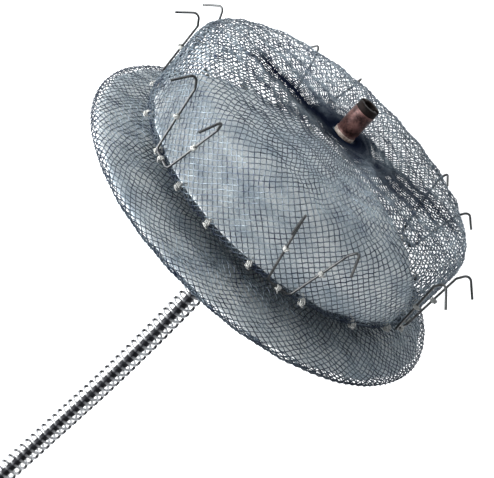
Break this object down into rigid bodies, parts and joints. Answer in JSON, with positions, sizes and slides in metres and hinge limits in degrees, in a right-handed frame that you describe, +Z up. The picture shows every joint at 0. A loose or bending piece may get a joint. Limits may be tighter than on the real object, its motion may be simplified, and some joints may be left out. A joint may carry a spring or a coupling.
{
  "type": "left atrial appendage occluder",
  "caption": "Braided nickel-titanium disc and lobe implant with paired hook wires, fabric patches and end clamps, lying on its rim and on its coiled delivery cable.",
  "frame": {"origin": "middle of the disc's rim circle, on the implant's own axis", "axes": "+Z up from the floor it lies on; the implant's axis leans from +X up towards +Z by 25.4 degrees, lobe side up; +Y along the level width of the disc"},
  "size_m": [0.0892, 0.0474, 0.0332],
  "materials": {
    "nitinol": "fine braided wire, blue-grey",
    "polyester_patch": "thin plain-woven polyester",
    "brown_clamp": "turned metal, red-brown and matt",
    "steel_fitting": "turned stainless steel",
    "suture_thread": "white braided thread",
    "hook_wire": "dark oxide nickel-titanium wire",
    "cable_steel": "open wire coil on a dark core"
  },
  "bodies": {
    "root": {"nitinol_braid": "nitinol", "disc_fabric": "polyester_patch", "lobe_fabric": "polyester_patch", "distal_end_clamp": "brown_clamp", "proximal_end_screw": "steel_fitting", "cable_screw_tip": "steel_fitting", "suture_ties": "suture_thread", "hook_wire_1": "hook_wire", "hook_wire_2": "hook_wire", "hook_wire_3": "hook_wire", "hook_wire_4": "hook_wire", "hook_wire_5": "hook_wire", "hook_wire_6": "hook_wire", "delivery_cable_run": "cable_steel", "delivery_cable_coil": "cable_steel", "delivery_cable_tail": "cable_steel"}
  },
  "joints": []
}
